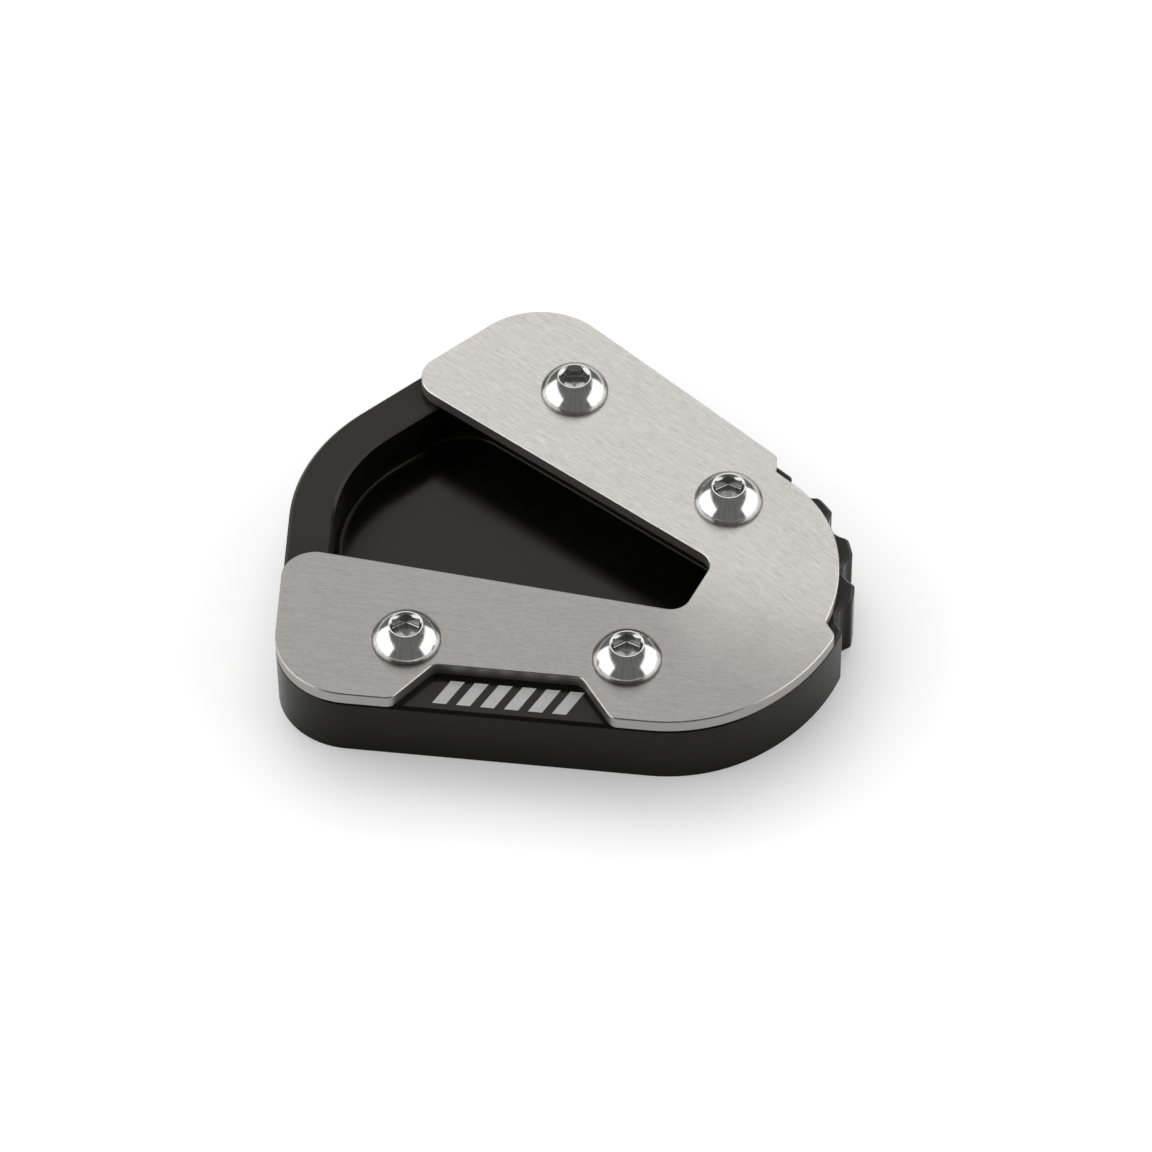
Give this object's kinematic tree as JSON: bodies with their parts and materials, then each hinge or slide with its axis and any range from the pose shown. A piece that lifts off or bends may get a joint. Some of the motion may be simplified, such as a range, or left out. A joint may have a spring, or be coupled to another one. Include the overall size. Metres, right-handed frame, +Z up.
{
  "type": "side stand foot enlarger",
  "caption": "Foot enlarger for a motorcycle side stand: a pocketed black tray with a scalloped nose, and a V-shaped steel clamp plate screwed over it.",
  "frame": {"origin": "middle of the ground face, under the tray", "axes": "+X along the slot's axis to the toothed nose, +Y to the left side with the teeth, +Z up through the clamp plate"},
  "size_m": [0.089, 0.0864, 0.0157],
  "materials": {
    "anodised_tray": "black anodised, satin",
    "brushed_plate": "brushed stainless steel, fine straight grain",
    "bright_screw": "bright stainless steel, smooth turned and pressed"
  },
  "bodies": {
    "root": {"base_tray": "anodised_tray", "clamp_plate": "brushed_plate", "screw_nose_left": "bright_screw", "screw_nose_right": "bright_screw", "screw_heel_left": "bright_screw", "screw_heel_right": "bright_screw"}
  },
  "joints": []
}
